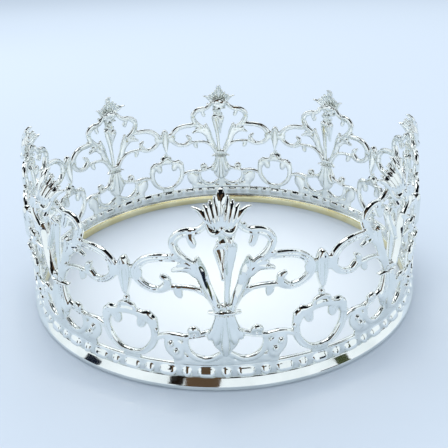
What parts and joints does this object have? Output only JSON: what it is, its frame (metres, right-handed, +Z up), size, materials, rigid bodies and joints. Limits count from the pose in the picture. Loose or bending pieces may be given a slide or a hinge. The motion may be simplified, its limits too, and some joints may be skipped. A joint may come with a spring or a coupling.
{
  "type": "crown",
  "caption": "Rigid openwork silver-plated crown: rolled base band, beaded rail and lotus-topped scroll motifs joined by heart loops and spindle buds.",
  "frame": {"origin": "centre of the underside of the base band, on the surface that the crown stands on", "axes": "+Z up along the crown's axis; one lotus motif faces -Y; +X is to that motif's right"},
  "size_m": [0.15, 0.15, 0.0622],
  "materials": {
    "silver_casting": "bright silver-plated casting, softly polished",
    "beaded_rail": "bright silver-plated casting, softly polished",
    "polished_band": "mirror-polished silver plate"
  },
  "bodies": {
    "root": {"base_band": "polished_band", "bead_rail": "beaded_rail", "scroll_panel_1": "silver_casting", "lotus_finial_1": "silver_casting", "stem_1": "silver_casting", "collar_1": "silver_casting", "bell_foot_1": "silver_casting", "heart_loop_1": "silver_casting", "bud_1": "silver_casting", "scroll_panel_2": "silver_casting", "lotus_finial_2": "silver_casting", "stem_2": "silver_casting", "collar_2": "silver_casting", "bell_foot_2": "silver_casting", "heart_loop_2": "silver_casting", "bud_2": "silver_casting", "scroll_panel_3": "silver_casting", "lotus_finial_3": "silver_casting", "stem_3": "silver_casting", "collar_3": "silver_casting", "bell_foot_3": "silver_casting", "heart_loop_3": "silver_casting", "bud_3": "silver_casting", "scroll_panel_4": "silver_casting", "lotus_finial_4": "silver_casting", "stem_4": "silver_casting", "collar_4": "silver_casting", "bell_foot_4": "silver_casting", "heart_loop_4": "silver_casting", "bud_4": "silver_casting", "scroll_panel_5": "silver_casting", "lotus_finial_5": "silver_casting", "stem_5": "silver_casting", "collar_5": "silver_casting", "bell_foot_5": "silver_casting", "heart_loop_5": "silver_casting", "bud_5": "silver_casting", "scroll_panel_6": "silver_casting", "lotus_finial_6": "silver_casting", "stem_6": "silver_casting", "collar_6": "silver_casting", "bell_foot_6": "silver_casting", "heart_loop_6": "silver_casting", "bud_6": "silver_casting", "scroll_panel_7": "silver_casting", "lotus_finial_7": "silver_casting", "stem_7": "silver_casting", "collar_7": "silver_casting", "bell_foot_7": "silver_casting", "heart_loop_7": "silver_casting", "bud_7": "silver_casting", "scroll_panel_8": "silver_casting", "lotus_finial_8": "silver_casting", "stem_8": "silver_casting", "collar_8": "silver_casting", "bell_foot_8": "silver_casting", "heart_loop_8": "silver_casting", "bud_8": "silver_casting"}
  },
  "joints": []
}
